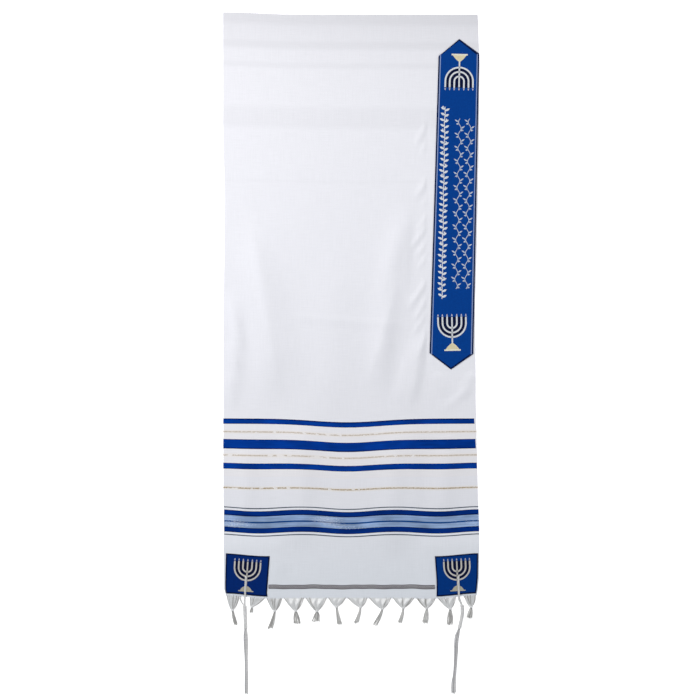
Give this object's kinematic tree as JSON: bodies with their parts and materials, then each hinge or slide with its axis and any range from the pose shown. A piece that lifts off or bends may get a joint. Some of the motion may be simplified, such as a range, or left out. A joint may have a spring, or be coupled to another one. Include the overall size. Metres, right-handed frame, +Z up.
{
  "type": "tallit prayer shawl",
  "caption": "Long woven prayer shawl folded once across and laid flat, with a pointed neckband, square corner patches, knotted hem fringe and corner tzitzit strings.",
  "frame": {"origin": "centre of the laid shawl's outline, on the surface that it lies on", "axes": "+Z up from the surface, +Y along the shawl towards the fold, +X across it towards the edge that carries the neckband"},
  "size_m": [0.5663, 1.505, 0.0107],
  "materials": {
    "woven_cloth": "fine plain weave, matt, with woven blue bands and metallic threads",
    "blue_ribbon": "satin ribbon with woven gold and silver ornament",
    "hem_yarn": "loose matt yarn, knotted",
    "tzitzit_cord": "twisted matt string"
  },
  "bodies": {
    "root": {"shawl_cloth": "woven_cloth", "atarah_band": "blue_ribbon", "corner_patch_front_left": "blue_ribbon", "corner_patch_front_right": "blue_ribbon", "corner_patch_under_left": "blue_ribbon", "corner_patch_under_right": "blue_ribbon", "hem_fringe_front": "hem_yarn", "hem_fringe_under": "hem_yarn", "tzitzit_front_left": "tzitzit_cord", "tzitzit_front_right": "tzitzit_cord", "tzitzit_under_left": "tzitzit_cord", "tzitzit_under_right": "tzitzit_cord"}
  },
  "joints": []
}
